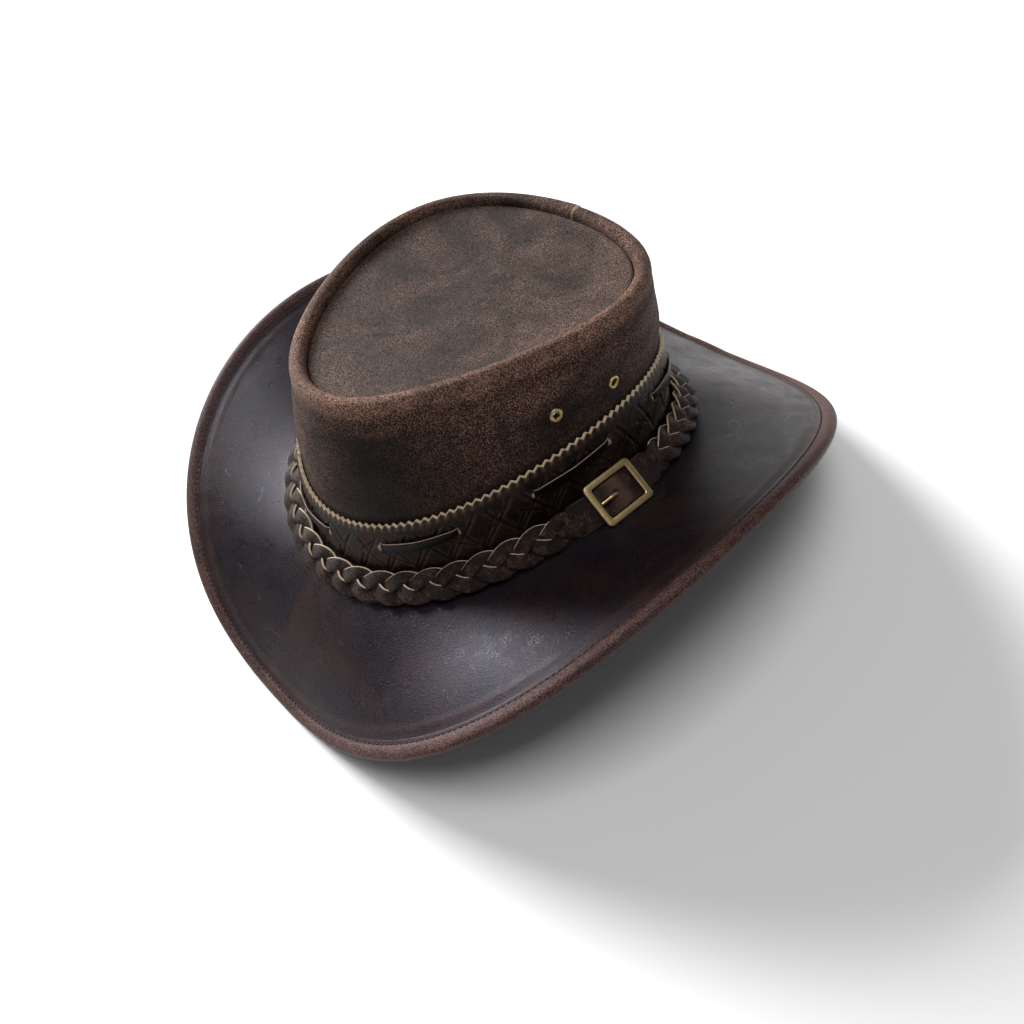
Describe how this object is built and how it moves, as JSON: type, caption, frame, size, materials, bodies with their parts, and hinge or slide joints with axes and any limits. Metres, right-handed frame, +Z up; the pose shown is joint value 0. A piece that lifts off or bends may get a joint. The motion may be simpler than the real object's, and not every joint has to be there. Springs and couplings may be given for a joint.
{
  "type": "leather cowboy hat",
  "caption": "Leather hat with a dished teardrop crown, a curled bound brim, a laced band and a plaited strap with a brass buckle.",
  "frame": {"origin": "middle of the whole outline on the surface that the hat rests on", "axes": "+Z up, the hat faces -Y, and the wearer's left, with the buckle, is +X"},
  "size_m": [0.3358, 0.353, 0.1574],
  "materials": {
    "oiled_leather": "smooth oiled, rubbed",
    "worn_edge_leather": "worn matt edge",
    "nubuck_leather": "mottled nubuck",
    "embossed_leather": "tooled, crackled",
    "lace_leather": "smooth dark lace",
    "plait_leather": "grainy with cut edges",
    "antique_brass": "antique"
  },
  "bodies": {
    "root": {"brim": "oiled_leather", "brim_binding": "worn_edge_leather", "crown_wall": "nubuck_leather", "crown_top": "nubuck_leather", "hat_band": "embossed_leather", "lace": "lace_leather", "braided_strap": "plait_leather", "buckle_frame": "antique_brass", "buckle_prong": "antique_brass", "eyelet_left_front": "antique_brass", "eyelet_left_back": "antique_brass", "eyelet_right_front": "antique_brass", "eyelet_right_back": "antique_brass"}
  },
  "joints": []
}
